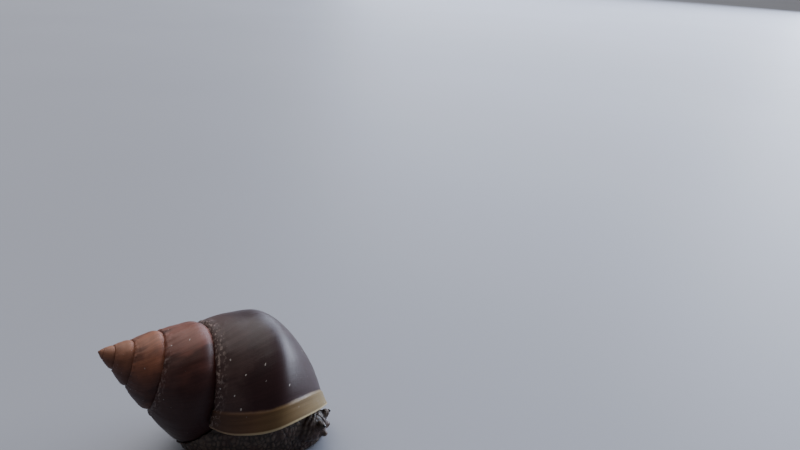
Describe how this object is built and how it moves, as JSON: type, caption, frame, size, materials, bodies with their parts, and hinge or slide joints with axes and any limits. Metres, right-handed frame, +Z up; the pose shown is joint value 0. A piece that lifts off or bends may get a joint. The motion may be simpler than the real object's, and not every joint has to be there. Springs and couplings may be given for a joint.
{
  "type": "giant african land snail",
  "caption": "Giant African land snail at rest, drawn into its right-handed conical shell, with the head tucked under the lip and the sole flat on the floor.",
  "frame": {"origin": "middle of the bounding box, at the floor", "axes": "+Z up; the shell's apex points to -X and its lip opens down and towards -Y; the head is at +X"},
  "size_m": [0.0648, 0.0492, 0.0394],
  "materials": {
    "shell_tan": "satin, worn horn",
    "shell_brown": "glossy dark brown skin over shell",
    "shell_band": "glossy, thin new growth",
    "flesh": "moist, wrinkled",
    "eye": "wet gloss"
  },
  "bodies": {
    "root": {"shell_apex": "shell_tan", "shell_whorl_3": "shell_tan", "shell_whorl_4": "shell_tan", "shell_penultimate_whorl": "shell_brown", "shell_body_whorl": "shell_brown", "shell_outer_lip": "shell_band", "shell_columella": "shell_tan", "mantle_collar": "flesh", "foot_front": "flesh", "foot_middle": "flesh", "foot_tail": "flesh", "head": "flesh", "upper_tentacle_left": "flesh", "upper_tentacle_right": "flesh", "lower_tentacle_left": "flesh", "lower_tentacle_right": "flesh", "eye_left": "eye", "eye_right": "eye"}
  },
  "joints": []
}
